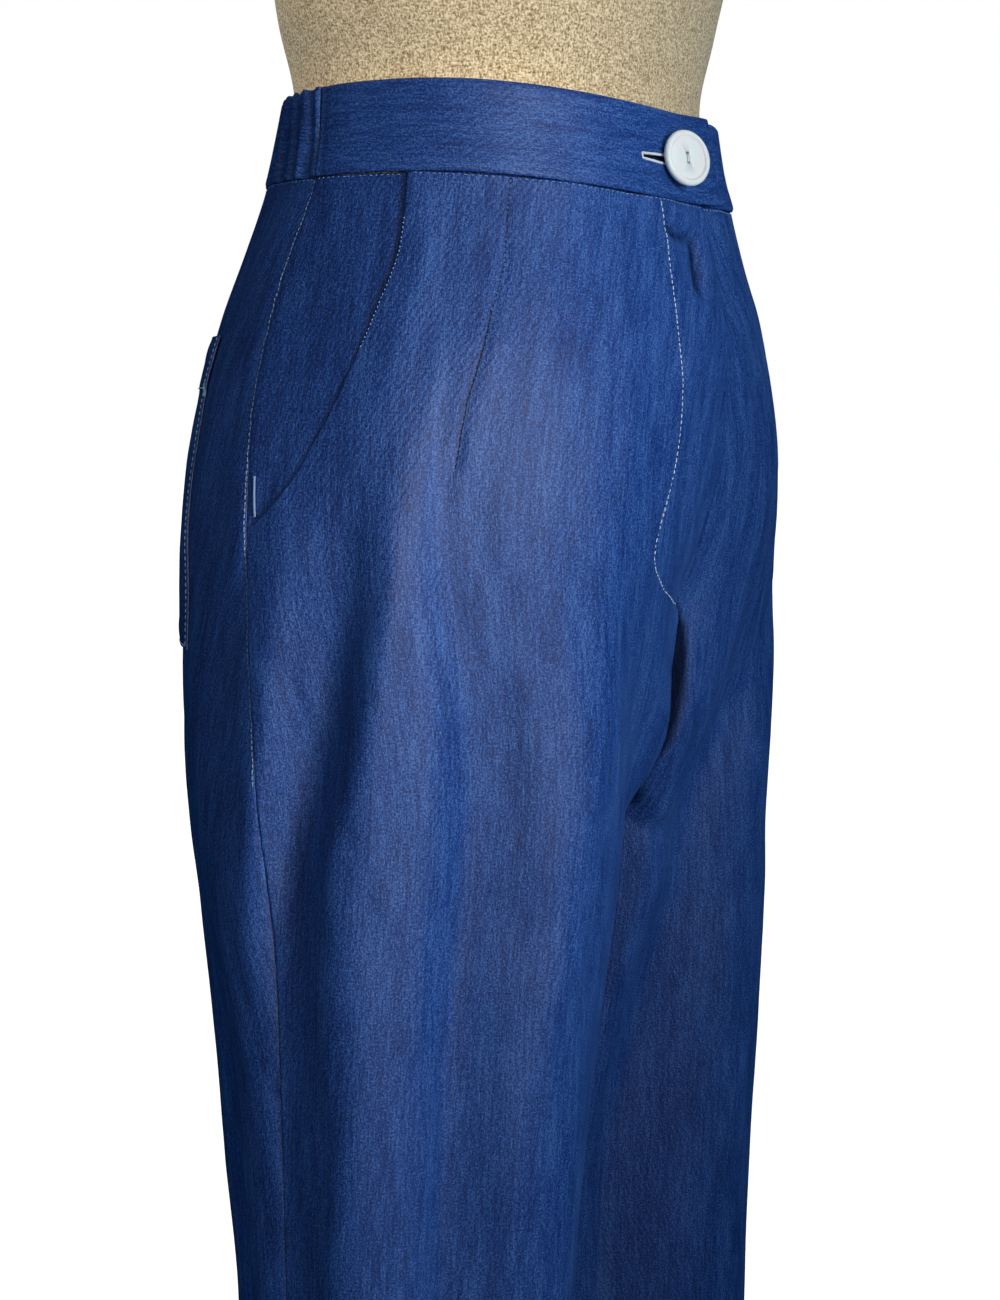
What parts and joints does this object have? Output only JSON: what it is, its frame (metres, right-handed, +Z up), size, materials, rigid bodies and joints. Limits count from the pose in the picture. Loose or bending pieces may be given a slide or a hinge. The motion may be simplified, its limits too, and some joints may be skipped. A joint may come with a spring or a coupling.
{
  "type": "wide leg jeans on a limbless dress form",
  "caption": "High-waisted wide leg denim trousers with slant pockets, a buttoned waistband and an elasticated back, worn by a limbless dress form on a round stand.",
  "frame": {"origin": "on the floor, at the middle of the base plate's underside", "axes": "+Z up, -Y the way the wearer would face, +X to the wearer's left"},
  "size_m": [0.4063, 0.39, 1.603],
  "materials": {
    "denim": "light indigo denim, fine weave with a soft sheen",
    "button": "polished white",
    "linen": "natural linen over a padded shell",
    "wood": "satin varnish",
    "steel": "satin black"
  },
  "bodies": {
    "root": {"front_right": "denim", "front_left": "denim", "back_right": "denim", "back_left": "denim", "pocket_facing_right": "denim", "pocket_facing_left": "denim", "back_pocket_right": "denim", "back_pocket_left": "denim", "waistband_front_right": "denim", "waistband_front_left": "denim", "waistband_back": "denim", "button": "button", "form_torso": "linen", "form_neck_cap": "wood", "form_pole": "steel", "form_collar": "steel", "form_base": "steel"}
  },
  "joints": []
}
